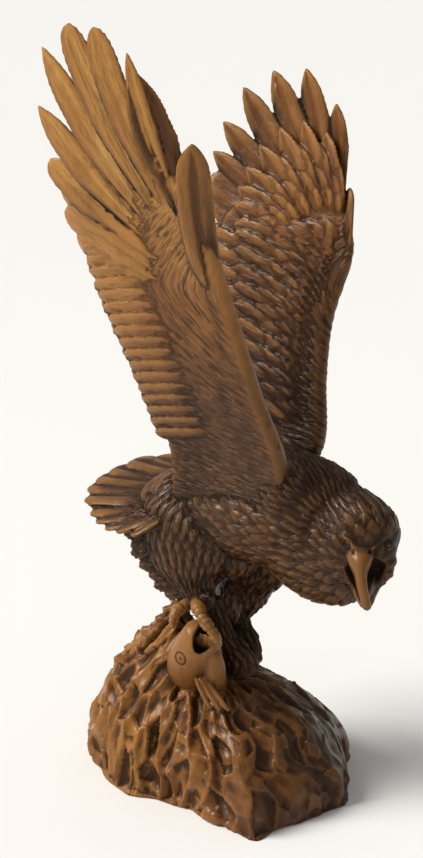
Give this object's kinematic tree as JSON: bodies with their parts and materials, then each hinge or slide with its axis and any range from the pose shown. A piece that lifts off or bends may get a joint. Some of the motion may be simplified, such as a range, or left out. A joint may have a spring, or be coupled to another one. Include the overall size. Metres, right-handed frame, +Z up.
{
  "type": "wooden eagle carving",
  "caption": "Carved wooden eagle with raised wings that grips a fish on a rocky base, in one block; a standing ornament.",
  "frame": {"origin": "on the flat underside of the rocky base, below the bird's body", "axes": "+Z up; +X the way the bird faces, from tail to head; +Y the bird's left"},
  "size_m": [0.2378, 0.184, 0.484],
  "materials": {
    "waxed_wood": "brown hardwood with straight upright grain, dark stain left in the tool marks and a semi-gloss wax"
  },
  "bodies": {
    "root": {"eagle_carving": "waxed_wood"}
  },
  "joints": []
}
